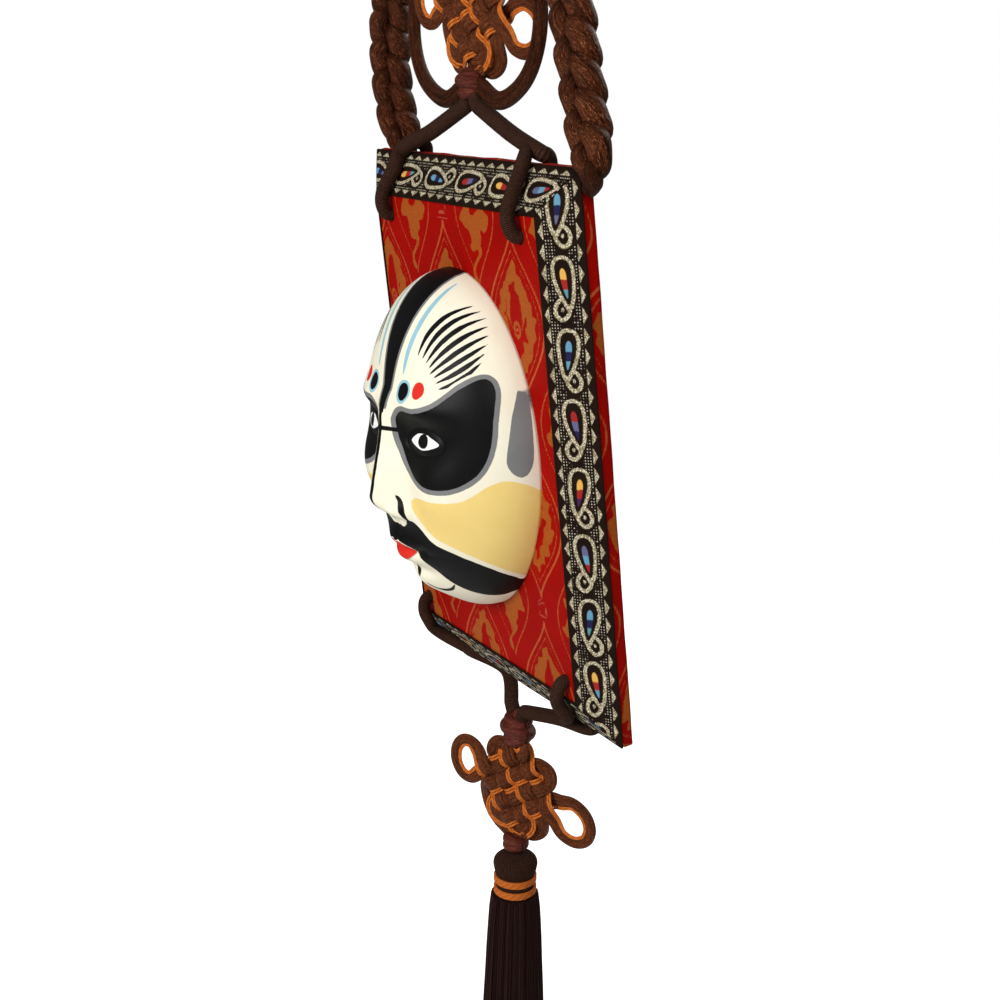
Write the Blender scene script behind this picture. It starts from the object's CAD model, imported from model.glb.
"""The looks of a wall hanging with a painted opera mask, in metres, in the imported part's frame."""

import math

import bmesh
import bpy
import numpy as np
from mathutils import Matrix, Vector


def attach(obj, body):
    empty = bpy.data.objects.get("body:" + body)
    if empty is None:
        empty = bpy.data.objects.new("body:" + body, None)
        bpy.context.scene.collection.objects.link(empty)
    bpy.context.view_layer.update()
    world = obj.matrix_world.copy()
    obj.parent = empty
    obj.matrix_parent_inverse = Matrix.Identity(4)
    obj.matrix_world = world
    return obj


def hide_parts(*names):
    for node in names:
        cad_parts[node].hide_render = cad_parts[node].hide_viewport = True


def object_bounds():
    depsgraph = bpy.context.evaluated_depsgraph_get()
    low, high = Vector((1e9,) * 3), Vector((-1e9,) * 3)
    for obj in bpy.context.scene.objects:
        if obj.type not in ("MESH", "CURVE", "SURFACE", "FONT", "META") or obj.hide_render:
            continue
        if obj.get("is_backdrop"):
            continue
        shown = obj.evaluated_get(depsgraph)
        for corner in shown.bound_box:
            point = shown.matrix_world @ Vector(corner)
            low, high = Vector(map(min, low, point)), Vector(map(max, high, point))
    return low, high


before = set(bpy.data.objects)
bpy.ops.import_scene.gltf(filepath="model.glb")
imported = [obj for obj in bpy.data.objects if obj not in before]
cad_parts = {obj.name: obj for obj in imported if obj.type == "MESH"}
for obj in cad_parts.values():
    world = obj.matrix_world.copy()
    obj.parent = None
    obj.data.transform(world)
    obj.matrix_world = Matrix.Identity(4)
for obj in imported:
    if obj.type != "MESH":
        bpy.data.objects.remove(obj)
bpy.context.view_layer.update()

# The view: a camera just right of the hanging and above its middle, looking down on it, as in the
# photograph. The board's centre and tilt place it, and every piece on the board below.
board_tilt = math.radians(7)
board_centre = Vector((0, 0.0023635, -0.4122446))
on_board = Matrix.Translation(board_centre) @ Matrix.Rotation(board_tilt, 4, "X")
camera_place = board_centre + Vector((0.6779, -0.3766, 0.1786))
camera_azimuth, camera_pitch, camera_roll = (math.radians(degrees) for degrees in (59.87, 15.27, 0.82))
heading = Vector((-math.sin(camera_azimuth), math.cos(camera_azimuth), 0))
forward = heading * math.cos(camera_pitch) - Vector((0, 0, math.sin(camera_pitch)))
level = Vector((math.cos(camera_azimuth), math.sin(camera_azimuth), 0))
upright = level.cross(forward)
camera_right = level * math.cos(camera_roll) + upright * math.sin(camera_roll)
camera_up = upright * math.cos(camera_roll) - level * math.sin(camera_roll)


def add_object(name, data):
    """A new object of that camera, lamp or mesh, linked to the scene."""
    obj = bpy.data.objects.new(name, data)
    bpy.context.scene.collection.objects.link(obj)
    return obj


camera = add_object("camera", bpy.data.cameras.new("camera"))
camera.data.sensor_width = 36
camera.data.lens = 54.43
camera.data.clip_start = 0.01
camera.data.clip_end = 50
turn = Matrix((camera_right, camera_up, -forward)).transposed()
camera.matrix_world = Matrix.Translation(camera_place) @ turn.to_4x4()
bpy.context.scene.camera = camera
bpy.context.scene.view_settings.view_transform = "Standard"


class Value:
    """A value in a node tree. Sums on it add the nodes that work them out."""

    def __init__(self, tree, socket=None):
        self.tree = tree
        self.socket = socket

    def node(self, kind, inputs=(), output=0, **settings):
        """Any other node, with its settings first, and then the values or links of its sockets."""
        made = self.tree.nodes.new(kind)
        for name, value in settings.items():
            setattr(made, name, value)
        for key, value in dict(inputs).items():
            if isinstance(value, Value):
                self.tree.links.new(value.socket, made.inputs[key])
            else:
                made.inputs[key].default_value = value
        return Value(self.tree, None if output is None else made.outputs[output])

    def other(self, name):
        """Another output of the node that this value comes from."""
        return Value(self.tree, self.socket.node.outputs[name])

    def maths(self, operation, *others, clamp=False):
        values = dict(enumerate((self, *others)))
        return self.node("ShaderNodeMath", values, operation=operation, use_clamp=clamp)

    def clamped(self, strength=1.0):
        """This value times the strength, kept between 0 and 1."""
        return self.maths("MULTIPLY", strength, clamp=True)

    def __add__(self, other):
        return self.maths("ADD", other)

    __radd__ = __add__

    def __sub__(self, other):
        return self.maths("SUBTRACT", other)

    def __rsub__(self, other):
        return (self * -1) + other

    def __mul__(self, other):
        return self.maths("MULTIPLY", other)

    __rmul__ = __mul__

    def __truediv__(self, other):
        return self.maths("DIVIDE", other)

    def part(self, name):
        return self.node("ShaderNodeSeparateXYZ", {0: self}, output="XYZ".index(name))

    def inside(self, softness):
        """1 where this distance is below zero, 0 where it is above, with a soft edge that wide."""
        return self.maths("MULTIPLY_ADD", -1 / softness, 0.5, clamp=True)

    def over(self, base, colour):
        """This colour laid over the base, as strongly as this value says."""
        base = base if isinstance(base, Value) else (*base, 1)
        colour = colour if isinstance(colour, Value) else (*colour, 1)
        return self.node("ShaderNodeMix", {0: self, 6: base, 7: colour}, 2, data_type="RGBA")

    def attribute(self, name, output="Fac"):
        return self.node("ShaderNodeAttribute", output=output, attribute_name=name)

    def noise(self, scale, detail=2.0, vector=None, rough=0.5):
        vector = vector or self.node("ShaderNodeTexCoord", output="Object")
        inputs = {0: vector, "Scale": scale, "Detail": detail, "Roughness": rough}
        return self.node("ShaderNodeTexNoise", inputs)

    def vector(self, x, y, z):
        return self.node("ShaderNodeCombineXYZ", {0: x, 1: y, 2: z})

    def keep(self, name, value, kind="FLOAT"):
        """This geometry, with the value kept on it as an attribute."""
        kept = {0: self, "Name": name, "Value": value}
        return self.node("GeometryNodeStoreNamedAttribute", kept, data_type=kind)

    def kept(self, name, kind="FLOAT"):
        return self.node("GeometryNodeInputNamedAttribute", {"Name": name}, data_type=kind)

    def sweep(self, sides, size, finish):
        """Closed meshes along these curves, round and that thick, which end the tree."""
        ring = self.node("GeometryNodeCurvePrimitiveCircle", {"Resolution": sides, "Radius": 1.0})
        ring = ring.keep("cord_round", self.node("GeometryNodeInputPosition"), "FLOAT_VECTOR")
        swept = self.node("GeometryNodeCurveToMesh", {0: self, 1: ring, "Scale": size, "Fill Caps": True})
        swept = self.node("GeometryNodeRealizeInstances", {0: swept})
        swept = self.node("GeometryNodeSetMaterial", {0: swept, "Material": finish})
        self.node("NodeGroupOutput", {0: swept}, None)


def new_material(name, gloss=0.5, sheen=(1, 1, 1), **constants):
    """A material, the start of its node tree, and its shader with the constants set on it."""
    material = bpy.data.materials.new(name)
    material.use_nodes = True
    shader = material.node_tree.nodes["Principled BSDF"]
    constants |= {"Specular_IOR_Level": gloss, "Specular_Tint": (*sheen, 1)}
    for socket, value in constants.items():
        shader.inputs[socket.replace("_", " ")].default_value = value
    return material, Value(material.node_tree), shader


def finish_with(start, shader, colour, roughness, height, depth):
    """Links the colour and roughness, and a bump of that height, as deep as the depth in metres."""
    links = start.tree.links
    links.new(colour.socket, shader.inputs["Base Color"])
    if isinstance(roughness, Value):
        links.new(roughness.socket, shader.inputs["Roughness"])
    else:
        shader.inputs["Roughness"].default_value = roughness
    bump = start.node("ShaderNodeBump", {"Height": height, "Distance": depth, "Strength": 1.0})
    links.new(bump.socket, shader.inputs["Normal"])


# The studio: a pale floor well below the hanging, large soft lamps in front of it, beside it and
# behind it, and an even pale surround.
floor_height, floor_size = -0.98, 1.6
bm = bmesh.new()
bmesh.ops.create_grid(bm, x_segments=1, y_segments=1, size=floor_size)
floor_mesh = bpy.data.meshes.new("floor")
bm.to_mesh(floor_mesh)
bm.free()
floor_mesh.transform(Matrix.Translation((0, 0, floor_height)))
floor = add_object("floor", floor_mesh)
floor_look = {"Roughness": 0.9, "Base_Color": (0.8, 0.8, 0.8, 1), "Emission_Strength": 0.9}
floor_paint, start, shader = new_material("pale_floor", **floor_look)
seen = start.node("ShaderNodeLightPath", output=0)
start.tree.links.new(seen.socket, shader.inputs["Emission Color"])
floor_mesh.materials.append(floor_paint)
floor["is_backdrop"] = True

world = bpy.data.worlds.new("pale_surround")
world.use_nodes = True
bpy.context.scene.world = world
sky = world.node_tree.nodes["Background"]
sky.inputs["Color"].default_value = (1, 1, 1, 1)
sky.inputs["Strength"].default_value = 0.13
surround = Value(world.node_tree)
backdrop = surround.node("ShaderNodeBackground", {"Color": (1, 1, 1, 1), "Strength": 1.0})
seen = surround.node("ShaderNodeLightPath", output=0)
lighting = Value(world.node_tree, sky.outputs[0])
both = surround.node("ShaderNodeMixShader", {0: seen, 1: lighting, 2: backdrop})
world.node_tree.links.new(both.socket, world.node_tree.nodes["World Output"].inputs["Surface"])


def add_lamp(name, place, size, power):
    """A square soft lamp that is turned to the middle of the hanging."""
    lamp = add_object(name, bpy.data.lights.new(name, "AREA"))
    lamp.data.size = size
    lamp.data.energy = power
    lamp.location = place
    lamp.rotation_euler = (lamp_target - Vector(place)).to_track_quat("-Z", "Y").to_euler()


lamp_target = Vector((0, 0, -0.4))
add_lamp("key", (0.30, -1.40, 0.12), 0.55, 19.5)
add_lamp("side", (1.35, -0.55, 0.30), 0.5, 9.0)
add_lamp("rear", (-0.6, 1.4, 0.6), 1.0, 11)


# Shared by the pieces below: smooth lines, woven and painted shapes as signed distances in metres,
# negative inside, and meshes of quads that hold those distances at their points.
def smooth_line(points, steps, closed=False):
    """Points of a smooth curve through the given ones."""
    points = np.array(points, float)
    count = len(points)
    found = []
    for i in range(count if closed else count - 1):
        near = [(i + k) % count if closed else min(max(i + k, 0), count - 1) for k in range(-1, 3)]
        a, b, c, d = points[near]
        for t in np.arange(steps) / steps:
            bend = (2 * a - 5 * b + 4 * c - d) * t**2 + (3 * b - a - 3 * c + d) * t**3
            found.append((2 * b + (c - a) * t + bend) / 2)
    return np.array(found if closed else found + [points[-1]])


def walked_along(line):
    """How far along the line each of its points is."""
    return np.concatenate([[0], np.cumsum(np.linalg.norm(np.diff(line, axis=0), axis=1))])


def softened(points, times):
    """The points, each drawn towards its neighbours that many times, with both ends kept."""
    for _ in range(times):
        points[1:-1] = (points[:-2] + points[1:-1] * 2 + points[2:]) / 4
    return points


def unit_rows(vectors):
    return vectors / np.linalg.norm(vectors, axis=1, keepdims=True)


def to_segments(x, z, line):
    """Distance to each segment of a line, and how far along the segment the nearest point is."""
    for a, b in zip(line, line[1:]):
        along = b - a
        share = ((x - a[0]) * along[0] + (z - a[1]) * along[1]) / max(along @ along, 1e-15)
        share = np.clip(share, 0, 1)
        yield np.hypot(x - a[0] - share * along[0], z - a[1] - share * along[1]), share


def region(x, z, outline, steps=6):
    """Signed distance to the smooth closed outline, given in millimetres."""
    line = smooth_line(outline, steps, closed=True) / 1000
    line = np.vstack([line, line[:1]])
    away = np.full(x.shape, 1.0)
    for distance, _ in to_segments(x, z, line):
        away = np.minimum(away, distance)
    within = np.zeros(x.shape, bool)
    for a, b in zip(line, line[1:]):
        crosses = (a[1] > z) != (b[1] > z)
        at = a[0] + (z - a[1]) / (b[1] - a[1] if b[1] != a[1] else 1e-12) * (b[0] - a[0])
        within ^= crosses & (x < at)
    return np.where(within, -away, away)


def stroke(x, z, line, widest, taper):
    """Signed distance to a stroke along the line, both given in millimetres, with thinner ends."""
    line = smooth_line(line, 6) / 1000
    spans = len(line) - 1
    away = np.full(x.shape, 1.0)
    for k, (distance, share) in enumerate(to_segments(x, z, line)):
        place = (k + share) / spans
        width = widest / 1000 * np.sin(np.pi * np.clip(place, 0.02, 0.98)) ** taper
        away = np.minimum(away, distance - width)
    return away


def grid_quads(index):
    """The four corners of each cell in a grid of point numbers."""
    return np.stack([index[:-1, :-1], index[:-1, 1:], index[1:, 1:], index[1:, :-1]], -1).reshape(-1, 4)


def quad_object(name, places, quads, values, *materials):
    """A mesh object of quads, with a value or a colour at each place for each name."""
    mesh = bpy.data.meshes.new(name)
    mesh.from_pydata(places.reshape(-1, 3).tolist(), [], quads.tolist())
    for key, found in values.items():
        found = np.asarray(found, np.float32)
        coloured = found.ndim == places.ndim
        layer = mesh.attributes.new(key, "FLOAT_COLOR" if coloured else "FLOAT", "POINT")
        if coloured:
            found = np.concatenate([found, np.ones((*found.shape[:-1], 1), np.float32)], -1)
        layer.data.foreach_set("color" if coloured else "value", found.ravel())
    mesh.shade_smooth()
    for material in materials:
        mesh.materials.append(material)
    return add_object(name, mesh)


def grid_object(name, rows, values, material):
    index = np.arange(rows[..., 0].size).reshape(rows.shape[:2])
    return quad_object(name, rows, grid_quads(index), values, material)


def wear(piece, slot, *nodes):
    """The piece rides on the hanging, takes that slot's finish and stands for those nodes."""
    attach(piece, "root")
    if nodes:
        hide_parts(*nodes)


# The board: one closed cover over card and wadding. Red satin brocade with woven orange-gold ogee
# leaves goes over the field, the sloping borders and the side walls, and its turned edge is glued
# down behind, where a plain backing cloth closes it.
field_width, field_height = 0.165, 0.245
ribbon_width = 0.025
ribbon_fall = math.radians(32)
ribbon_reach = ribbon_width * math.cos(ribbon_fall)
ribbon_drop = ribbon_width * math.sin(ribbon_fall)
board_wall = 0.006
board_back = ribbon_drop + board_wall
repeat_across, repeat_up = 0.067, 0.100
leaf_half_width, leaf_half_height = 0.0245, 0.043
first_leaf = (-0.009, 0.071)


def nearest_repeat(u, v, origin_u, origin_v):
    x = np.mod(u - origin_u + repeat_across / 2, repeat_across) - repeat_across / 2
    z = np.mod(v - origin_v + repeat_up / 2, repeat_up) - repeat_up / 2
    return x, z


def leaf_distance(x, z, half_width, half_height):
    """Signed distance to a leaf with a point at the top and the bottom."""
    t = np.abs(z) / half_height
    inner = half_width * np.cos(np.pi / 2 * np.clip(t, 0, 1)) ** 1.5
    return (np.abs(x) - inner) * 0.82 + np.clip(t - 1, 0, None) * half_height * 0.6


def brocade_values(u, v):
    """The woven shapes at the cloth's places: outlines, gold areas and pink dots."""
    ripple = 0.0008 * np.sin(u * 640 + 2.2 * np.sin(v * 300))
    ripple += 0.0007 * np.sin(v * 760 + 1.7 * np.sin(u * 390))
    x, z = nearest_repeat(u, v, *first_leaf)
    leaf = leaf_distance(x, z, leaf_half_width, leaf_half_height)
    outlines = np.abs(leaf) - 0.00062
    outlines = np.minimum(outlines, np.abs(leaf + 0.0034) - 0.0003)
    band = np.maximum(leaf + 0.0064 + ripple, -(leaf + 0.0128 + 1.5 * ripple))
    core = np.hypot(x, (z + 0.004) / 1.3) - 0.0034
    gold = np.minimum(band, np.maximum(core, -(core + 0.0016)))
    pink = np.hypot(x, z + 0.004) - 0.0011
    for side in (-1, 1):
        curl = region(side * x, z, [(4, 14), (8, 9), (7.5, 2), (4.5, -4), (5.5, 2), (5, 8)], 3)
        gold = np.minimum(gold, curl)
    x, z = nearest_repeat(u, v, first_leaf[0] + repeat_across / 2, first_leaf[1] + repeat_up / 2)
    angle = np.arctan2(z, x)
    cloud = np.hypot(x * 1.15, z * 0.78) - 0.0135 - 0.0028 * np.cos(5 * angle + 1.57) + 1.4 * ripple
    cloud = np.maximum(cloud, -(np.hypot(x, (z - 0.002) * 0.8) - 0.0036 + ripple))
    gold = np.minimum(gold, cloud)
    tail = np.minimum(np.abs(x - 0.004 * np.sin(z * 260)) - 0.0013, 0.004)
    gold = np.minimum(gold, np.maximum(tail, np.abs(np.abs(z) - 0.026) - 0.009) + 0.4 * ripple)
    outlines = np.minimum(outlines, np.abs(leaf_distance(x, z, 0.019, 0.037)) - 0.0004)
    for shift in ((repeat_across / 2, 0.0), (0.0, repeat_up / 2)):
        x, z = nearest_repeat(u, v, first_leaf[0] + shift[0], first_leaf[1] + shift[1])
        bell = np.hypot(x * 1.15, z * 0.82) - 0.0046
        bell = np.maximum(bell, -(z + 0.0035))
        bell_line = np.minimum(np.abs(bell) - 0.0003, np.abs(bell + 0.0016) - 0.00025)
        foot = np.maximum(np.abs(z + 0.0056) - 0.0003, np.abs(x) - 0.0055)
        pink = np.minimum(pink, np.minimum(bell_line, foot))
    return {"woven_line": outlines, "woven_gold": gold, "woven_pink": pink, "cloth_u": u, "cloth_v": v}


def board_place(x, y, z):
    """World places of points given across, inward and up from the board's centre."""
    local = np.stack([x, y, z, np.ones_like(x)], -1)
    return (local @ np.array(on_board).T)[..., :3]


brocade, start, shader = new_material("satin_brocade", 0.06, (1, 0.35, 0.2))
u, v = start.attribute("cloth_u"), start.attribute("cloth_v")
warp = (u * 9000).maths("SINE")
twill = ((u + v) * 5200).maths("SINE")
ribs = (v * 7800 + (u * 900).maths("SINE")).maths("SINE")
patchy = start.noise(38, 3)
fine = start.noise(900, 2)
edge_noise = (start.noise(620, 3, rough=0.7) - 0.5) * 0.0022
gold_area = (start.attribute("woven_gold") + edge_noise).inside(0.0005)
gold_line = (start.attribute("woven_line") + edge_noise * 0.35).inside(0.0005)
pink_line = (start.attribute("woven_pink") + edge_noise * 0.2).inside(0.0004)
ground = patchy.over((0.22, 0.0010, 0.0006), (0.34, 0.0024, 0.0010))
ground = (warp * 0.10 + 0.08).over(ground, (0.46, 0.010, 0.004))
thread = (twill * 0.30 + 0.40).over((0.36, 0.085, 0.010), (0.19, 0.026, 0.003))
gilt = (fine * 0.8).over(thread, (0.44, 0.135, 0.022))
woven = (gold_area * 0.82).over(ground, gilt)
woven = (gold_line * 0.75).over(woven, (0.46, 0.110, 0.030))
woven = (pink_line * 0.65).over(woven, (0.50, 0.115, 0.070))
raised = gold_area.maths("MAXIMUM", gold_line)
cloth_height = ribs * (raised * 0.35 + 0.12) + warp * 0.2 + raised * 0.9 + fine * 0.5
finish_with(start, shader, woven, 0.62 - raised * 0.14, cloth_height, 0.00010)

backing_cloth, start, shader = new_material("plain_backing")
u_wave, v_wave = ((start.attribute(name) * 5200).maths("SINE") for name in ("cloth_u", "cloth_v"))
backing_colour = start.noise(30, 3).over((0.11, 0.012, 0.010), (0.16, 0.02, 0.016))
finish_with(start, shader, backing_colour, 0.85, u_wave * v_wave + start.noise(700) * 0.8, 0.00012)

corner = 0.0012
cloth_profile = [(ribbon_reach * 0.5, ribbon_drop * 0.5)]
cloth_profile += [(ribbon_reach - corner, ribbon_drop - corner * 0.7)]
cloth_profile += [(ribbon_reach - 0.0003, ribbon_drop - 0.0001), (ribbon_reach, ribbon_drop + 0.0009)]
cloth_profile += [(ribbon_reach, ribbon_drop + board_wall * k / 6) for k in range(2, 6)]
cloth_profile += [(ribbon_reach - 0.0004, board_back - 0.0002), (ribbon_reach - 0.0014, board_back)]
cloth_profile += [(ribbon_reach - 0.002 - 0.003 * k, board_back + 0.00015) for k in range(6)]
cloth_profile += [(ribbon_reach - 0.0185, board_back), (ribbon_reach - 0.0188, board_back + 0.0005)]
cloth_walk = walked_along([(0, 0), *cloth_profile])[1:]
cloth_step = 0.0012
cells_u, cells_v = int(field_width / cloth_step), int(field_height / cloth_step)
share_u, share_v = np.meshgrid(np.linspace(-1, 1, cells_u), np.linspace(-1, 1, cells_v))
cloth_index = np.arange(cells_u * cells_v).reshape(cells_v, cells_u)
edges = [cloth_index[0, :-1], cloth_index[:-1, -1], cloth_index[-1, :0:-1], cloth_index[:0:-1, 0]]
around = np.concatenate(edges)
rim_u, rim_v = share_u.ravel()[around], share_v.ravel()[around]
u, v = share_u.ravel() * field_width / 2, share_v.ravel() * field_height / 2
fade = (1 - share_u.ravel() ** 4) * (1 - share_v.ravel() ** 4)
crown = fade * (0.0006 + 0.00012 * np.sin(u * 60 + 1.2) * np.sin(v * 41))
places, cloth = [board_place(u, -crown, v)], [np.stack([u, v])]
for (out, deep), walked in zip(cloth_profile, cloth_walk):
    x, z = rim_u * (field_width / 2 + out), rim_v * (field_height / 2 + out)
    loose = np.clip((deep - ribbon_drop) / board_wall, 0, 1)
    loose *= np.clip((board_back + 0.001 - deep) / 0.003, 0, 1)
    slack = loose * (0.0003 + 0.00035 * np.sin((x - z) * 95) + 0.0002 * np.sin((x + z) * 240))
    places.append(board_place(x + rim_u * slack, np.full_like(x, deep), z + rim_v * slack))
    cloth.append(np.stack([rim_u * (field_width / 2 + walked), rim_v * (field_height / 2 + walked)]))
last_out, last_deep = cloth_profile[-1]
u, v = share_u.ravel() * (field_width / 2 + last_out), share_v.ravel() * (field_height / 2 + last_out)
inner = np.setdiff1d(cloth_index.ravel(), around)
places.append(board_place(u[inner], np.full(len(inner), last_deep), v[inner]))
cloth.append(np.stack([u[inner], v[inner]]))
front_quads = grid_quads(cloth_index)
quads = [front_quads]
ring = around
for k in range(len(cloth_profile)):
    following = np.arange(len(around)) + cells_u * cells_v + k * len(around)
    quads.append(np.stack([ring, following, np.roll(following, -1), np.roll(ring, -1)], -1))
    ring = following
back_index = np.empty(cells_u * cells_v, int)
back_index[around] = ring
back_index[inner] = ring[-1] + 1 + np.arange(len(inner))
brocade_faces = sum(len(found) for found in quads)
quads.append(back_index[front_quads][:, ::-1])
places, (u, v) = np.vstack(places), np.hstack(cloth)
cover = quad_object("brocade_cover", places, np.vstack(quads), brocade_values(u, v), brocade, backing_cloth)
on_back = np.arange(len(cover.data.polygons)) >= brocade_faces
cover.data.polygons.foreach_set("material_index", on_back.astype(np.int32))
wear(cover, "red_brocade", "brocade_board")


# The ribbon: 25 mm jacquard braid with cream teardrops on a near-black ground, glued on the four
# sloping borders and mitred at the corners. Neighbouring teardrops are mirror images.
teardrop_pitch = 0.0338
triangle_pitch = teardrop_pitch / 3.5
ribbon_thickness = 0.0008
teardrop = [(0.2, 13.6), (3.6, 12.2), (4.9, 8.2), (4.3, 2.6), (2.2, -3.4), (-0.3, -8.2), (-1.8, -10.4)]
teardrop += [(-3.6, -8.0), (-4.6, -2.0), (-5.0, 3.6), (-4.7, 8.6), (-3.1, 12.2)]
inner_drop = [(0.2, 8.6), (1.5, 6.8), (1.2, 2.4), (0.0, -2.4)]
inner_drop += [(-1.4, -5.4), (-1.8, -2.0), (-1.6, 3.2), (-1.2, 6.8)]
curl_line = [(-2.6, -8.6), (-1.6, -12.6), (1.2, -15.4), (4.2, -13.8)]
curl_line += [(4.8, -10.2), (3.2, -7.0), (1.8, -6.2)]
dot_across, dot_along = 0.0014, -0.0106
border_width = 0.0041
dyes = {
    "sky": (0.13, 0.33, 0.46),
    "navy": (0.016, 0.018, 0.075),
    "mauve": (0.13, 0.13, 0.25),
    "gold": (0.80, 0.44, 0.09),
    "red": (0.36, 0.022, 0.02),
    "teal": (0.11, 0.31, 0.34),
    "plum": (0.07, 0.02, 0.09),
}
fills = ["sky navy mauve", "gold red teal", "sky navy sky", "red mauve navy"]
fills += ["gold red plum", "mauve sky red", "sky navy teal", "gold red sky"]


def ribbon_values(along, across):
    """The woven shapes at places along the ribbon and across it from its inner edge."""
    number = np.floor(along / teardrop_pitch).astype(int)
    z = -(along / teardrop_pitch - number - 0.5) * teardrop_pitch - 0.0012
    mirror = np.where(number % 2 == 0, 1.0, -1.0)
    x = (across - ribbon_width / 2) * mirror / 1.07
    drop = region(x, z, teardrop)
    curl = stroke(x, z, curl_line, 1.0, taper=0.12)
    dot = np.hypot(x - dot_across, (z - dot_along) * 0.7) - 0.0007
    lines = np.minimum(np.minimum(np.abs(drop) - 0.00088, curl), dot)
    fill = region(x, z, inner_drop)
    dye = np.zeros((*x.shape, 3))
    for k, names in enumerate(fills):
        colours = np.array([dyes[name] for name in names.split()])
        block = np.where(z > 0.0034, 0, np.where(z > -0.0012, 1, 2))
        dye = np.where(((number % len(fills)) == k)[..., None], colours[block], dye)
    edge = np.minimum(across, ribbon_width - across)
    step = np.abs(np.mod(along, triangle_pitch) - triangle_pitch / 2)
    triangles = np.maximum(step * 0.52 + (border_width - edge) * 0.9 - 0.00225, edge - border_width)
    ring = np.hypot(x - dot_across, z - dot_along) - 0.0040
    lattice = np.minimum(np.minimum(drop, curl), ring) - 0.0014
    lattice = np.minimum(lattice, np.minimum(edge - border_width - 0.0005, np.abs(x) - 0.0030))
    return {
        "braid_line": lines,
        "braid_fill": np.maximum(fill, drop),
        "braid_dye": dye,
        "braid_triangle": triangles,
        "braid_lattice": lattice,
        "braid_along": along,
        "braid_across": across,
    }


ribbon_cloth, start, shader = new_material("jacquard_ribbon", 0.06)
along, across = start.attribute("braid_along"), start.attribute("braid_across")
warp_lines = (across * 6.283 / 0.00052).maths("SINE")
weft_lines = (along * 6.283 / 0.00060).maths("SINE")
stitch_place = start.vector(along, across * 1.35, 0.0)
stitches = start.node("ShaderNodeTexVoronoi", {0: stitch_place, "Scale": 1250.0, "Randomness": 0.75})
rough_edge = (start.noise(1500, 1) - 0.5) * 0.0009
line = (start.attribute("braid_line") + rough_edge).inside(0.00035)
fill = start.attribute("braid_fill").inside(0.0004)
triangle = (start.attribute("braid_triangle") + rough_edge * 0.6).inside(0.00035)
dot_step = 0.00145
dot_x = ((across / dot_step).maths("FRACT") - 0.5) * dot_step
dot_z = ((along / dot_step).maths("FRACT") - 0.5) * dot_step
dots = (dot_x * dot_x + dot_z * dot_z).maths("SQRT") - 0.00032
dots = dots.inside(0.00025) * (0.0 - start.attribute("braid_lattice")).inside(0.0006)
bead = (stitches * 1.7).maths("POWER", 2.0, clamp=True)
cream = bead.over((1.0, 0.93, 0.74), (0.25, 0.195, 0.10))
dark = start.noise(70, 2).over((0.0020, 0.0015, 0.0011), (0.012, 0.005, 0.0025))
dark = (weft_lines * warp_lines * 0.40 + 0.08).over(dark, (0.040, 0.017, 0.008))
braid = (fill * 0.95).over(dark, start.attribute("braid_dye", "Color"))
speck = (start.noise(520, 1) - 0.40).clamped(7.0)
braid = (dots * speck * 0.85).over(braid, (0.72, 0.66, 0.50))
braid = (triangle * 0.92).over(braid, cream)
braid = line.over(braid, cream)
stitched = line.maths("MAXIMUM", triangle).maths("MAXIMUM", dots).maths("MAXIMUM", fill * 0.6)
braid_height = stitched * 1.3 - bead * stitched * 0.7 + weft_lines * warp_lines * 0.3
finish_with(start, shader, braid, 0.72 - line * 0.26, braid_height, 0.00022)


def ribbon_strip(name, turn, half_along, half_across, first, node):
    """One strip of ribbon, a thin closed plate on the slope, with its corners cut at 45 degrees."""
    rise = 0.0003
    top = rise + ribbon_thickness
    path = [(0.0, rise), (-0.0002, top * 0.6), (0.0003, top)]
    path += [(ribbon_width * k / 52, top) for k in range(1, 52)]
    path += [(ribbon_width - 0.0003, top), (ribbon_width + 0.0002, top * 0.6), (ribbon_width, rise)]
    path.append(path[0])
    across, lift = np.array(path).T
    out = across * math.cos(ribbon_fall) + lift * math.sin(ribbon_fall)
    deep = across * math.sin(ribbon_fall) - lift * math.cos(ribbon_fall)
    share = np.linspace(-1, 1, int(2 * (half_along + ribbon_reach) / 0.00052))
    along = share[None, :] * (half_along - rise + np.clip(out, 0, ribbon_reach)[:, None])
    ripple = 0.00012 * np.sin(along * 130 + turn) * np.sin(across[:, None] * 200)
    away = half_across + out[:, None] + 0 * along
    inward = deep[:, None] + ripple
    sin, cos = round(math.sin(turn)), round(math.cos(turn))
    x, z = along * cos + away * sin, away * cos - along * sin
    values = ribbon_values(along + first, across[:, None] + 0 * along)
    strip = grid_object(name, board_place(x, inward, z), values, ribbon_cloth)
    bm = bmesh.new()
    bm.from_mesh(strip.data)
    bmesh.ops.remove_doubles(bm, verts=bm.verts, dist=0.00002)
    bmesh.ops.holes_fill(bm, edges=[edge for edge in bm.edges if edge.is_boundary], sides=0)
    bmesh.ops.recalc_face_normals(bm, faces=bm.faces)
    bm.to_mesh(strip.data)
    bm.free()
    wear(strip, "woven_ribbon", node)


for name, turn, half_along, half_across, first in (
    ("jacquard_top", 0.0, field_width / 2, field_height / 2, 0.1030),
    ("jacquard_right", math.pi / 2, field_height / 2, field_width / 2, 0.1405),
    ("jacquard_bottom", math.pi, field_width / 2, field_height / 2, 0.1030),
    ("jacquard_left", -math.pi / 2, field_height / 2, field_width / 2, 0.1405),
):
    ribbon_strip(name, turn, half_along, half_across, first, name.replace("jacquard", "ribbon"))


# The mask: a hollow plaster shell, painted by hand in satin colours and glued on the board. Its
# face is a calm, plain one, drawn from usual proportions, in shares of its half height.
mask_width, mask_height, mask_depth = 0.138, 0.182, 0.046
mask_wall, mask_lip, mask_gap = 0.0035, 0.0015, 0.0003
mask_half = mask_height / 2

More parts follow.
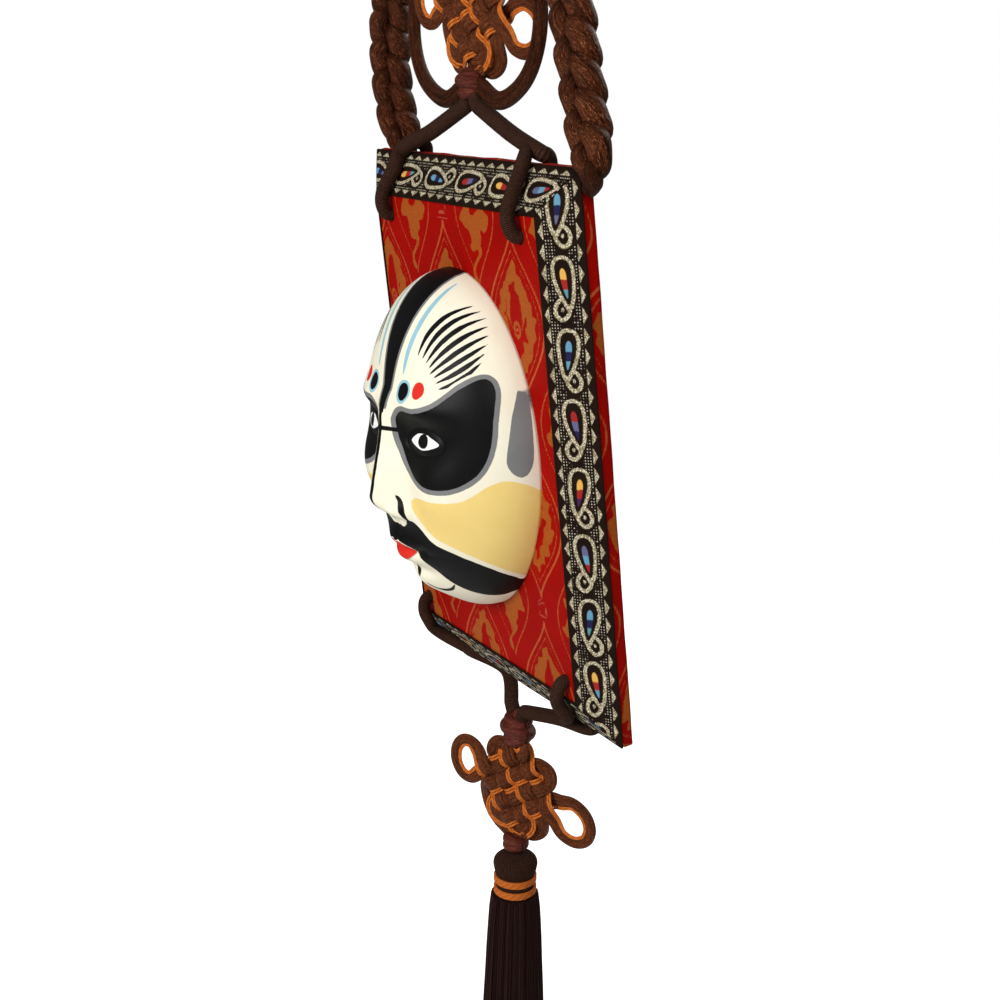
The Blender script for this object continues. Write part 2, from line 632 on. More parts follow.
# Each feature is a smooth mound or hollow: its rise, its place across and up, its width and height,
# all in shares of the mask's half height.
features = [
    (0.052, 0.125, -0.275, 0.070, 0.062),  # wings of the nose
    (0.045, 0.30, 0.33, 0.22, 0.085),  # brows
    (-0.075, 0.31, 0.16, 0.19, 0.120),  # eye sockets
    (0.055, 0.31, 0.15, 0.13, 0.070),  # eyeballs
    (0.055, 0.42, -0.13, 0.20, 0.200),  # cheekbones
    (0.060, 0, -0.52, 0.28, 0.160),  # mound of the mouth
    (0.030, 0, -0.475, 0.17, 0.034),  # upper lip
    (0.034, 0, -0.585, 0.14, 0.042),  # lower lip
    (-0.020, 0, -0.530, 0.19, 0.018),  # line between the lips
    (-0.025, 0, -0.670, 0.16, 0.040),  # hollow under the lips
    (0.070, 0, -0.790, 0.17, 0.110),  # chin
    (-0.010, 0, -0.415, 0.030, 0.045),  # groove over the lips
    (-0.018, 0.075, -0.335, 0.030, 0.018),  # nostrils
    (-0.014, 0.185, -0.520, 0.030, 0.030),  # corners of the mouth
]


def bump(x, z, at_x, at_z, wide, tall):
    return np.exp(-(((x - at_x) / wide) ** 2) - ((z - at_z) / tall) ** 2)


def dome_share(rim_share):
    """The dome's rise from its rim, where the share is 1, to its middle."""
    return (1 - rim_share**2.6) ** 0.55


def nose_height(x, z):
    brow, tip = 0.26, -0.27
    along = np.clip((brow - z) / (brow - tip), 0, 1.25)
    rounding = np.clip((along - 0.82) / 0.40, 0, 1)
    rise = (0.05 + 0.14 * along**1.3) * (1 - rounding**2 * (3 - 2 * rounding))
    rise = rise * (1 - np.clip((z - brow) / 0.16, 0, 1))
    width = 0.085 + 0.040 * np.minimum(along, 1)
    return rise * np.exp(-((x / width) ** 2))


def face_relief(x, z):
    side = np.abs(x)
    height = nose_height(x, z)
    for rise, *feature in features:
        height += rise * bump(side, z, *feature)
    eyelid = np.hypot((side - 0.31) / 0.145, (z - 0.15) / 0.075)
    return height - 0.010 * np.exp(-(((eyelid - 1.0) / 0.10) ** 2))


cells_across, cells_up = 218, 284
square_x, square_z = np.meshgrid(np.linspace(-1, 1, cells_across + 1), np.linspace(-1, 1, cells_up + 1))
disc_x = square_x * np.sqrt(1 - square_z**2 / 2)
disc_z = square_z * np.sqrt(1 - square_x**2 / 2)
rim = np.minimum(np.hypot(disc_x, disc_z), 1)
egg = 1 + 0.06 * disc_z - 0.10 * np.maximum(-disc_z, 0) ** 2
face_x = disc_x * egg * mask_width / mask_height
out = mask_depth * dome_share(rim) + face_relief(face_x, disc_z) * (1 - rim**6) * mask_half
mask_x, mask_y, mask_z = face_x * mask_half, -out - mask_gap - mask_lip, disc_z * mask_half

# Paint follows the surface, so its places are distances over the dome from the mask's middle.
samples = np.linspace(0, 1, 200)
least_reach, reach_step, reach_rows = 0.05, 0.005, 11
reach = np.hypot(mask_x, mask_z) / np.maximum(rim, 1e-6)
walked = []
for radius in least_reach + reach_step * np.arange(reach_rows):
    walked.append(walked_along(np.stack([samples * radius, mask_depth * dome_share(samples)], -1)))
walked = np.array(walked)
row = np.clip((reach - least_reach) / reach_step, 0, reach_rows - 1.001)
column = np.minimum(rim * (len(samples) - 1), len(samples) - 1.001)
low, left = row.astype(int), column.astype(int)
upper_share, right_share = row - low, column - left
walk = (1 - upper_share) * ((1 - right_share) * walked[low, left] + right_share * walked[low, left + 1])
walk += upper_share * ((1 - right_share) * walked[low + 1, left] + right_share * walked[low + 1, left + 1])
stretch = walk / np.maximum(rim * reach, 1e-6)
x, z = np.abs(mask_x) * stretch, mask_z * stretch

brow_band = np.where(z > 0.026, 0.0024 + 0.0115 * np.clip((z - 0.026) / 0.075, 0, 1) ** 1.15, 0.0016)
black = np.maximum(x - brow_band, -(z + 0.031))
grey = np.maximum(x - brow_band - 0.0017, -(z - 0.028))
blue = stroke(x, z, [(14.0, 47), (14.8, 60), (18.0, 80), (21.5, 100)], 1.7, taper=0.45)
patch_outline = [(10, 24), (17, 29), (28, 29.5), (40, 34), (53, 46), (63, 52), (69, 46), (70, 30), (69, 14)]
patch_outline += [(63, 1), (52, -6.5), (40, -8), (28, -5.5), (18, 1), (12, 10), (9.5, 17)]
patch = region(x, z, patch_outline)
black = np.minimum(black, patch)
grey = np.minimum(grey, patch - 0.0026)
temple = region(x, z, [(80, 54), (86, 44), (90, 24), (90, 4), (84, -4), (77, 4), (78, 20), (79, 38)])
grey = np.minimum(grey, temple)
for k in range(1, 9):
    angle = math.radians(112 - 13.2 * k)
    bend = math.radians(34 - 7.2 * k)
    near_end, far_end = 11.5 + 1.1 * abs(k - 5), 43 + 9 * math.sin(1.0 + k * 0.32)
    line = []
    for share in (0, 0.33, 0.66, 1):
        length = near_end + (far_end - near_end) * share
        turned = angle - bend * share
        line.append((25 + length * math.cos(turned), 41 + length * math.sin(turned)))
    fan_stroke = stroke(x, z, line, 1.65 - 0.04 * k, taper=0.85)
    black = np.minimum(black, np.maximum(fan_stroke, 0.0042 - patch))
spot_x, spot_z = 0.0165, 0.0385
spot = np.hypot(x - spot_x, z - spot_z)
black = np.minimum(black, spot - 0.0043)
blue = np.minimum(blue, spot - 0.0058)
red = np.hypot(x - 0.0278, z - 0.0405) - 0.0041
jowl_outline = [(0, -35.5), (6, -35), (11, -32), (15.5, -29), (20.5, -33.5), (27, -41), (38, -48)]
jowl_outline += [(48, -58), (54, -72), (55, -86), (49, -95), (39, -92)]
jowl_outline += [(29, -80), (20.5, -66), (15, -53), (9, -44.5), (0, -43.5)]
black = np.minimum(black, region(x, z, jowl_outline))
for line, widest, taper in (
    ([(0, 18.2), (5, 18), (11, 17.4)], 1.15, 0.05),
    ([(10.5, -15), (13.4, -19), (14.8, -25), (14.6, -32)], 1.2, 0.7),
    ([(0, -60), (0.6, -64), (0, -68.5)], 1.5, 0.7),
    ([(3.2, -71.5), (9, -76.5), (17, -76), (23, -71)], 1.15, 0.8),
):
    black = np.minimum(black, stroke(x, z, line, widest, taper))
lips_outline = [(0, -44.2), (3.2, -43.2), (7.5, -44.6), (12.6, -47.6), (9.5, -51.4), (5, -54.2), (0, -55.2)]
lips_outline += [(-x_mm, z_mm) for x_mm, z_mm in lips_outline[-2:0:-1]]
lips = region(x, z, lips_outline)
red = np.minimum(red, lips)
lip_border = 0.0008
black = np.where(lips < lip_border, np.maximum(black, lip_border - lips), black)
black = np.minimum(black, stroke(x, z, [(0, -48.6), (6, -48.2), (13.2, -47.6)], 0.55, taper=0.2))
cheek_outline = [(19, -19), (26, -14.5), (40, -15), (54, -14), (68, -6), (78, -5), (90, -14), (96, -32)]
cheek_outline += [(90, -58), (80, -82), (66, -98), (60, -96), (59, -84), (56, -68), (50, -55)]
cheek_outline += [(40, -44.5), (29, -37), (22.5, -29)]
cream = region(x, z, cheek_outline)
eye_outline = [(19.5, 13.8), (24, 17.4), (29, 18.4), (34, 17.2)]
eye_outline += [(40, 14.2), (34, 11.2), (28.5, 10.2), (23.5, 11.4)]
eye = region(x, z, eye_outline)
iris = np.hypot(x - 0.0293, z - 0.0146) - 0.0036
white = np.maximum(eye, -iris)
values = {"paint_black": black, "paint_grey": grey, "paint_blue": blue, "paint_red": red}
values |= {"paint_cream": cream, "paint_white": white, "paint_lips": lips}

mask_paint, start, shader = new_material("painted_plaster", 0.10)
wobble = (start.noise(240, 2) - 0.5) * 0.00055
brushed = start.noise(60, 4, rough=0.6)
speckle = start.noise(1400, 2)
ivory = brushed.over((0.81, 0.745, 0.56), (0.88, 0.84, 0.69))
layers = [
    ("paint_cream", (0.80, 0.57, 0.170), (0.86, 0.66, 0.245), 0.0006),
    ("paint_grey", (0.155, 0.16, 0.158), (0.22, 0.22, 0.215), 0.0003),
    ("paint_blue", (0.23, 0.46, 0.55), (0.33, 0.56, 0.64), 0.0003),
    ("paint_black", (0.0020, 0.0022, 0.0020), (0.0050, 0.0054, 0.0050), 0.00025),
    ("paint_red", (0.60, 0.017, 0.012), (0.70, 0.035, 0.02), 0.0003),
    ("paint_white", (0.84, 0.84, 0.80), (0.88, 0.88, 0.85), 0.00022),
]
painted, thickness = ivory, brushed * 0.5
for name, dark_shade, light_shade, softness in layers:
    layer = (start.attribute(name) + wobble).inside(softness)
    painted = layer.over(painted, brushed.over(dark_shade, light_shade))
    thickness = thickness + layer * 0.5
seam = (start.attribute("paint_lips").maths("ABSOLUTE") - 0.0006).inside(0.0005)
painted = (seam * 0.35).over(painted, (0.35, 0.16, 0.13))
roughness = 0.46 - start.attribute("paint_black").inside(0.0003) * 0.08 + brushed * 0.10
finish_with(start, shader, painted, roughness, thickness + speckle * 0.35, 0.00007)

# Behind the rim the shell has a lip, and its inside follows the dome at the wall's thickness.
mask = grid_object("mask_face", board_place(mask_x, mask_y, mask_z), values, mask_paint)
bm = bmesh.new()
bm.from_mesh(mask.data)
loop = [edge for edge in bm.edges if edge.is_boundary]
inside_shares = (1.0, 0.97, 0.90, 0.78, 0.60, 0.38, 0.16)
for k in range(-1, len(inside_shares)):
    made = bmesh.ops.extrude_edge_only(bm, edges=loop)["geom"]
    loop = [part for part in made if isinstance(part, bmesh.types.BMEdge)]
    for vert in {vert for edge in loop for vert in edge.verts}:
        local = on_board.inverted() @ vert.co
        if k == -1:
            local.y += mask_lip
        else:
            wall_step = 1 - mask_wall / math.hypot(local.x, local.z)
            narrowing = inside_shares[k] / inside_shares[k - 1] if k else wall_step
            local.x *= narrowing
            local.z *= narrowing
            local.y = -(mask_depth - mask_wall) * dome_share(inside_shares[k]) - mask_gap
        vert.co = on_board @ local
bmesh.ops.holes_fill(bm, edges=[edge for edge in bm.edges if edge.is_boundary], sides=0)
bm.to_mesh(mask.data)
bm.free()
wear(mask, "painted_plaster", "mask")


# The matte cords: dark thread bound round a soft core. Each is looped through a hole near the
# board's edge and over its rim, and its thicker leg runs to a collar on the middle line.
board_half_width = field_width / 2 + ribbon_reach
board_half_height = field_height / 2 + ribbon_reach
board_top = on_board @ Vector((0, ribbon_drop, board_half_height))
board_foot = on_board @ Vector((0, ribbon_drop, -board_half_height))
knots = {
    "joining_knot": (Vector((0, 0, -0.068)), (0.018, 0.013, 0.014)),
    "crown_collar": (Vector((0, 0, board_top.z + 0.1090714)), (0.009, 0.008, 0.008)),
    "upper_collar": (Vector((0, 0, board_top.z + 0.036)), (0.0085, 0.0078, 0.009)),
    "lower_collar": (board_foot - Vector((0, 0, 0.030)), (0.010, 0.009, 0.012)),
    "tassel_knot": (board_foot - Vector((0, 0, 0.1005714)), (0.008, 0.0075, 0.006)),
}
sunk = 0.0015


def leave(knot, direction, lead=0.005):
    """A route's first two places: just under the knot's surface, and further out by the lead."""
    centre, size = knots[knot]
    along = Vector(direction).normalized()
    reach = math.sqrt(sum((half * part) ** 2 for half, part in zip(size, along))) - sunk
    return [np.array(centre + along * (reach + further)) for further in (0, lead)]


cord_tree = bpy.data.node_groups.new("cord_along_line", "GeometryNodeTree")
for name, kind in (("Line", "Geometry"), ("Radius", "Float"), ("Sides", "Int"), ("Finish", "Material")):
    cord_tree.interface.new_socket(name, in_out="INPUT", socket_type="NodeSocket" + kind)
cord_tree.interface.new_socket("Cord", in_out="OUTPUT", socket_type="NodeSocketGeometry")
given = Value(cord_tree).node("NodeGroupInput")
length = given.node("GeometryNodeSplineParameter", output="Length")
line = given.node("GeometryNodeMeshToCurve", {0: given}).keep("cord_along", length)
line.sweep(given.other("Sides"), given.other("Radius") * given.kept("share"), given.other("Finish"))


def grow(name, mesh, tree, **values):
    """The plain mesh object that a tree of geometry nodes makes from the mesh."""
    source = add_object(name + "_line", mesh)
    modifier = source.modifiers.new("grow", "NODES")
    modifier.node_group = tree
    for socket in tree.interface.items_tree:
        if socket.name in values:
            modifier[socket.identifier] = values[socket.name]
    graph = bpy.context.evaluated_depsgraph_get()
    made = bpy.data.meshes.new_from_object(source.evaluated_get(graph))
    bpy.data.objects.remove(source)
    made.shade_smooth()
    return add_object(name, made)


def cords(name, routes, radius, finish, shares=None, sides=16):
    """One piece of cord along each route, all in one object. Shares scale the thickness."""
    points = np.vstack(routes)
    edges, first = [], 0
    for route in routes:
        edges += [(first + k, first + k + 1) for k in range(len(route) - 1)]
        first += len(route)
    mesh = bpy.data.meshes.new(name)
    mesh.from_pydata(points.tolist(), edges, [])
    layer = mesh.attributes.new("share", "FLOAT", "POINT")
    layer.data.foreach_set("value", np.ones(len(points)) if shares is None else np.concatenate(shares))
    return grow(name, mesh, cord_tree, Radius=radius, Sides=sides, Finish=finish)


def with_core(cord, line, widths, sides=16):
    """The cord, joined with a core of those half widths along the line that closes its gaps."""
    core = cords(cord.name + "_core", [line], 1.0, cord.data.materials[0], [widths], sides)
    with bpy.context.temp_override(active_object=cord, selected_editable_objects=[cord, core]):
        bpy.ops.object.join()
    return cord


def lay(start, turns_length):
    """Places round a cord that turn with its lay, and the place along it."""
    around = start.attribute("cord_round", "Vector")
    x, y, along = around.part("X"), around.part("Y"), start.attribute("cord_along")
    turn = along * (2 * math.pi / turns_length)
    sin, cos = turn.maths("SINE"), turn.maths("COSINE")
    return x * cos - y * sin, x * sin + y * cos, along


def streaks(start, laid, scale, stretch, detail=2):
    """Noise drawn out along the cord, at places that turn with its lay."""
    x, y, along = laid
    return start.noise(scale, detail, start.vector(x, y, along * stretch))


bound_cord, start, shader = new_material("thread_bound_cord", 0.10, (1, 0.7, 0.55))
wraps = lay(start, 0.00082)[1]
fibres = ((start.noise(1500, 2) - 0.5) * 2.6 + 0.45).clamped()
patches = start.noise(120, 3)
bound_colour = patches.over((0.006, 0.0024, 0.0015), (0.026, 0.0110, 0.0065))
bound_colour = (wraps * 0.25 + fibres * 0.60).over(bound_colour, (0.079, 0.034, 0.0205))
finish_with(start, shader, bound_colour, 0.78, wraps * 0.9 + fibres * 0.7, 0.00016)

cord_radius = 0.0036
hole_height = field_height / 2 - 0.009


def rim_route(side, end, spread, lean):
    clear = cord_radius + 0.0007
    lift = clear + ribbon_thickness + 0.0003
    out, front = lift * math.sin(ribbon_fall), -lift * math.cos(ribbon_fall)
    behind, bend = board_back + clear, 0.0045
    half = board_half_height
    places = [
        (0.0, half + clear, ribbon_drop + board_wall / 2),
        (0.1, half + clear / 2, behind - 0.0016),
        (0.3, half - bend, behind - 0.0014),
        (0.8, hole_height + 2 * bend, behind - 0.0014),
        (1.0, hole_height + bend / 4, board_back + clear / 2),
        (1.0, hole_height, board_back / 2),
        (1.0, hole_height - bend / 8, -bend / 3),
        (0.9, hole_height + bend, front - 0.0007),
        (0.7, field_height / 2 + out, front),
        (0.4, field_height / 2 + ribbon_reach / 2 + out, ribbon_drop / 2 + front),
        (0.1, half + out, ribbon_drop + front),
    ]
    return [on_board @ Vector((side * (spread - lean * (1 - s)), y, end * up)) for s, up, y in places]


for side, hand in ((-1, "left"), (1, "right")):
    for end, level_name, collar, spread, lean in (
        (1, "top", "upper_collar", field_width / 2 - 0.0145, 0.006),
        (-1, "bottom", "lower_collar", field_width / 2 - 0.0075, 0.009),
    ):
        places = rim_route(side, end, spread, lean)
        direction = (0.5 * side, 0, -0.86 * end)
        first, second = leave(collar, direction)
        front_way, rear_way = places[4:], [*places[4:0:-1], places[0] + Vector((0, 0.001, 0.001 * end))]
        main, joining = (front_way, rear_way) if (side, end) == (-1, 1) else (rear_way, front_way)
        crest = np.array(main[-1])
        sag = second * 0.45 + crest * 0.55 + np.array((0, 0, -0.0012 * end))
        if (side, end) == (-1, -1):
            sag = np.array((second[0] * 0.7 + crest[0] * 0.3, crest[1] + 0.002, crest[2] + 0.001))
        main_route = np.vstack([smooth_line([*main, sag, second], 12), [first]])
        share = np.interp(np.linspace(0, 1, len(main_route)), (0, 0.45, 0.65, 1), (1, 1, 1.14, 1.14))
        nearness = 0.62 if end == 1 else 0.15
        meeting = sag * (1 - nearness) + crest * nearness
        joining_route = smooth_line([*(joining if end == 1 else joining[:-1]), meeting], 10)
        joining_share = np.interp(np.linspace(0, 1, len(joining_route)), (0, 0.85, 1), (1, 1, 0.85))
        routes, shares = [main_route, joining_route], [share, joining_share]
        bound = cords(f"{level_name}_{hand}_bound_cord", routes, cord_radius, bound_cord, shares, 20)
        wear(bound, "matte_cord", f"{level_name}_cord_{hand}")


# The endless knots: two strands, each of four thin brown satin cords and two thinner orange ones laid
# side by side, woven over and under into a square that stands on its corner, with a loop each side.
lanes, lane_pitch, weave_rise = 4, 0.0097, 0.0036
ear_length, ear_width, ear_droop = 0.0240, 0.022, math.radians(9)
first_lane = -(lanes - 1) / 2 * lane_pitch
lane_places = [first_lane + k * lane_pitch for k in range(lanes)]


def lattice(a, b, rise):
    return Vector(((a + b) * math.sqrt(0.5), (b - a) * math.sqrt(0.5), rise))


def run_down(lane, order):
    return [lattice(lane_places[i], lane_places[lane], weave_rise * (-1) ** (i + lane)) for i in order]


def run_up(lane, order):
    return [lattice(lane_places[lane], lane_places[j], -weave_rise * (-1) ** (lane + j)) for j in order]


def strand_places(length):
    """Places of one strand, from its entry at the top, round a loop of that length, to its exit."""
    last = lanes - 1
    forth, back = range(lanes), range(last, -1, -1)
    corner = Vector((lane_places[last] * math.sqrt(2), 0, 0))
    ear = []
    for step in range(8):
        angle = math.radians(-142 + 284 * step / 7)
        out = lane_pitch / 2 + (1 + math.cos(angle)) * length / 2
        hang = Vector((out, math.sin(angle) * ear_width / 2, 0))
        ear.append(corner + Matrix.Rotation(-ear_droop, 3, "Z") @ hang)
    route = run_down(last, forth) + ear + run_up(last, back)
    for lane in (3, 2):
        end = -1 if lane == 3 else 1
        edge, tip = end * 2.12 * lane_pitch, end * 2.48 * lane_pitch
        middle = (lane_places[lane] + lane_places[lane - 1]) / 2
        turning = ((lane_places[lane], edge), (middle, tip), (lane_places[lane - 1], edge))
        route += [lattice(a, b, 0) for a, b in turning]
        route += run_up(lane - 1, forth if lane == 3 else back)
    one, two, low = lane_places[1], lane_places[2], lane_places[0]
    route.append(lattice(one, low - 0.7 * lane_pitch, -0.25 * weave_rise))
    route.append(lattice(one + 0.75 * lane_pitch, low - 1.3 * lane_pitch, -1.2 * weave_rise))
    route.append(lattice(two + 0.55 * lane_pitch, low - 1.45 * lane_pitch, -1.3 * weave_rise))
    return route


satin_cord, start, shader = new_material("brown_satin_cord", 0.26, (1, 0.38, 0.18))
laid = lay(start, 0.045)
threads = ((streaks(start, laid, 9.0, 14, 3) - 0.5) * 2.6 + 0.45).clamped()
thick_threads = streaks(start, laid, 3.2, 10)
glints = streaks(start, laid, 22.0, 30)
satin = threads.over((0.010, 0.0014, 0.0004), (0.150, 0.0350, 0.0105))
satin = (glints - 0.55).clamped(6.0).over(satin, (0.48, 0.165, 0.075))
satin = (0.46 - thick_threads).clamped(4.0).over(satin, (0.007, 0.0015, 0.0008))
thread_height = threads * 1.1 + thick_threads * 1.5 + glints * 0.4
finish_with(start, shader, satin, 0.36 + threads * 0.2, thread_height, 0.00022)

orange_cord, start, shader = new_material("orange_satin_cord", 0.3, (1, 0.6, 0.3))
laid = lay(start, 0.0042)
wraps, fine_threads = laid[1], streaks(start, laid, 5.0, 60)
orange = fine_threads.over((0.30, 0.055, 0.006), (0.66, 0.17, 0.022))
orange = (wraps * 0.25 + 0.05).over(orange, (0.80, 0.27, 0.06))
finish_with(start, shader, orange, 0.45, wraps * 0.6 + fine_threads, 0.00018)

brown_radius, orange_radius = 0.00155, 0.00070
brown_places = ((-0.0038, -0.0009), (-0.0019, 0.0), (0.0, 0.0), (0.0019, -0.0009))
orange_places = (0.0033, 0.0049)
for name, height, turn, lean, skew, top_knot, foot_knot in (
    ("upper_knot", board_top.z + 0.0718, 12, -8, -0.06, "crown_collar", "upper_collar"),
    ("lower_knot", board_foot.z - 0.0649357, 30, -10, -0.14, "lower_collar", "tassel_knot"),
):
    knot_middle = (0, knots[top_knot][0].y, height)
    turned = Matrix.Translation(knot_middle) @ Matrix.Rotation(math.radians(turn), 4, "Z")
    place = turned @ Matrix.Rotation(math.pi / 2, 4, "X")
    shear = Matrix.Identity(4)
    shear[1][0] = skew
    set_in = Matrix.Rotation(math.radians(lean), 4, "Z") @ shear
    right = np.array(turned.to_3x3() @ Vector((1, 0, 0)))
    depth = np.array(turned.to_3x3() @ Vector((0, 1, 0)))
    down = np.array((0, 0, -1.0))
    for side, hand, length in ((1, "right", ear_length), (-1, "left", ear_length * 0.70)):
        body = [set_in @ Vector((side * p.x, p.y, side * p.z)) for p in strand_places(length)]
        for point in body[-2:]:
            point.z = -abs(point.z)
        body = [np.array(place @ p) for p in body]
        away = -0.5 * side * right + 0.38 * side * depth + 0.78 * down
        top = leave(top_knot, away, 0.003)
        away = -0.74 * side * right - 0.67 * down
        foot = leave(foot_knot, away, 0.003)[::-1]
        route = smooth_line(top + body + foot, 7)
        sideways = softened(unit_rows(np.cross(-depth, np.gradient(route, axis=0))), 3)
        walked = walked_along(route)
        near = np.minimum(walked, walked[-1] - walked)
        spread = np.clip(0.40 + near / 0.020, 0, 1)[:, None] * side
        gathered = np.interp(np.arange(len(route)), (33, 50, 84, 100), (1, 0.66, 0.66, 1))
        spread = spread * gathered[:, None]
        share = np.clip(0.80 + near / 0.05, 0, 1) * (0.55 + 0.45 * gathered)
        lines = []
        for offset, arch in brown_places:
            lines.append(route + (sideways * offset - depth * arch * side) * spread)
        brown = cords(f"{name}_{hand}_cords", lines, brown_radius, satin_cord, [share] * 4)
        wear(brown, "brown_satin_cord", f"{name}_{hand}_strand")
        lines = [route + sideways * spread * offset for offset in orange_places]
        orange_line = cords(f"{name}_{hand}_orange", lines, orange_radius, orange_cord, [share] * 2, 10)
        wear(orange_line, "orange_thread")


# The side loops: a pair of satin cords each side, from the upper collar out and up round the knot to
# the crown collar. Their satin is that of the plaits, and darker where a strand runs thin.
plait_satin, start, shader = new_material("plaited_satin_thread", 0.22, (1, 0.42, 0.22))
laid = lay(start, 0.16)
threads = ((streaks(start, laid, 11.0, 9, 3) - 0.5) * 2.8 + 0.42).clamped()
locks = streaks(start, laid, 3.4, 7)
glints = streaks(start, laid, 34.0, 22)
satin = threads.over((0.0045, 0.0007, 0.0003), (0.104, 0.0235, 0.0070))
satin = (glints - 0.585).clamped(9.0).over(satin, (0.52, 0.185, 0.085))
satin = (0.47 - locks).clamped(4.8).over(satin, (0.006, 0.0014, 0.0008))
bulge = (start.attribute("share") - 0.80).clamped(2.6)
satin = (bulge * 0.72 + 0.28).over((0.0035, 0.0006, 0.0002), satin)
finish_with(start, shader, satin, 0.34 + threads * 0.2, threads * 1.2 + locks * 2.4 + glints * 0.4, 0.00036)

loop_reach, loop_spread = 0.062, 0.0020
low, high = knots["upper_collar"][0].z, knots["crown_collar"][0].z
for side, hand in ((-1, "left"), (1, "right")):
    places = [(0.46, low - 0.0085), (0.86, low + 0.003), (1.03, low + 0.026), (0.93, low + 0.052)]
    places += [(0.62, high - 0.007), (0.34, high + 0.001)]
    middle = [np.array((side * share * loop_reach, 0, z)) for share, z in places]
    arriving = leave("crown_collar", (0.97 * side, 0, 0.24))[::-1]
    route = smooth_line([*leave("upper_collar", (0.98 * side, 0, -0.2)), *middle, *arriving], 9)
    route = softened(route, 8)
    sideways = unit_rows(np.cross(np.gradient(route, axis=0), (0.0, 1.0, 0.0)))
    pair = [route + sideways * offset for offset in (-loop_spread, loop_spread)]
    loop = cords(f"side_loop_cord_{hand}", pair, 0.0025, plait_satin, sides=18)
    wear(loop, "brown_satin_cord", f"side_loop_{hand}")


# The side plaits: three fat strands of satin thread each, plaited loosely and drawn in at both ends.
# Both come from the joining knot. The right one ends on the board's side wall, and the left one on
# its back.
strand_radius, swing, depth_swing, plait_pitch = 0.0047, 0.0054, 0.0038, 0.048
tip_height, top = board_half_height - 0.012, board_top.z
for side, hand, plait_turn in ((-1, "left", math.radians(-45)), (1, "right", math.radians(8))):
    if side > 0:
        wall = board_half_width + 0.62 * (swing + 0.0048) + 0.0021
        tip = on_board @ Vector((wall - 0.0042, ribbon_drop + 0.0008, tip_height))
        middle = [tip, (wall - 0.0006, board_top.y + 0.001, top + 0.0021), (0.1040, 0.001, top + 0.018)]
        middle += [(0.0960, 0.001, top + 0.042), (0.0885, 0.001, top + 0.066), (0.0785, 0, top + 0.092)]
    else:
        tip = on_board @ Vector((board_half_width - 0.0060, board_back + 0.0061, tip_height))
        rim = on_board @ Vector((board_half_width - 0.0045, board_back + 0.0088, board_half_height))
        middle = [tip, rim, (0.1050, 0.010, top + 0.020), (0.1035, 0.0060, top + 0.042)]
        middle += [(0.0985, 0.0030, top + 0.066), (0.0870, 0.001, top + 0.092)]
    middle += [(0.0675, 0, top + 0.122), (0.0460, 0, top + 0.150)]
    middle += leave("joining_knot", (0.76, 0, -0.65), 0.014)[::-1]
    line = smooth_line(middle, 16) * np.array((side, 1, 1))
    walked = walked_along(line)
    even = np.linspace(0, walked[-1], 240)
    line = np.stack([np.interp(even, walked, line[:, k]) for k in range(3)], -1)
    ahead = unit_rows(np.gradient(line, axis=0))
    outward = unit_rows(np.cross(ahead, (0, 1.0, 0)))
    inward_way = np.cross(outward, ahead)
    draw = np.minimum(1, np.minimum(0.15 + even / 0.026, 0.45 + (even[-1] - even) / 0.04))
    broad = outward * math.cos(plait_turn) - inward_way * math.sin(plait_turn) * side
    flat = outward * math.sin(plait_turn) * side + inward_way * math.cos(plait_turn)
    rounded = np.sqrt(np.clip((even + 0.0002) / 0.007, 0, 1))
    strands, shares = [], []
    for strand in range(3):
        angle = 2 * math.pi * (even / plait_pitch + strand / 3)
        angle = angle + 0.36 * np.sin(2 * angle)
        x = np.sin(angle) * swing * draw
        y = np.sin(2 * angle) * depth_swing * draw
        strands.append(line + broad * x[:, None] + flat * y[:, None])
        shares.append((0.42 + 0.58 * draw) * rounded * (1.0 - 0.30 * np.cos(2 * angle)))
    plait = cords(f"plait_{hand}", strands, strand_radius, plait_satin, shares, 24)
    wear(plait, "brown_satin_cord", f"side_plait_{hand}")


# The collars and small knots on the middle line: red-brown satin cord wound round a core, turn on
# turn, with each turn set at its own slant.
collar_satin, start, shader = new_material("red_brown_satin", 0.4, (1, 0.4, 0.28))
laid = lay(start, 0.08)
threads = ((streaks(start, laid, 8.0, 16, 3) - 0.5) * 2.4 + 0.45).clamped()
satin = threads.over((0.022, 0.0032, 0.0022), (0.105, 0.019, 0.011))
satin = (streaks(start, laid, 20.0, 30) - 0.56).clamped(5.0).over(satin, (0.24, 0.062, 0.040))
finish_with(start, shader, satin, 0.34 + threads * 0.2, threads, 0.00030)

slants = [(0.10, 0.4), (-0.14, 1.2), (0.12, 2.2), (-0.10, 3.0), (0.15, 4.4)]


def wound_knot(name, turns, radius):
    """A knot of wound cord that fills the ellipsoid of its CAD node."""
    centre, size = knots[name]
    routes = []
    angles = np.linspace(0, 2 * np.pi, 41)
    for k in range(turns):
        level_share = -1 + 2 * (k + 0.5) / turns
        wide = math.sqrt(max(1 - (abs(level_share) * 0.92) ** 2, 0.1))
        slant, low_side = slants[k]
        x = np.cos(angles) * (size[0] * wide - radius * 0.75)
        y = np.sin(angles) * (size[1] * wide - radius * 0.75)
        z = level_share * (size[2] - radius) + slant * size[2] * np.cos(angles - low_side)
        routes.append(np.stack([x, y, z], -1) + np.array(centre))
    shares = np.linspace(-0.94, 0.94, 13)
    core = np.array([centre + Vector((0, 0, share * size[2])) for share in shares])
    widths = np.sqrt(np.clip(1 - shares**2, 0.05, 1)) * (size[1] - radius * 0.9)
    return with_core(cords(name + "_windings", routes, radius, collar_satin, sides=14), core, widths)


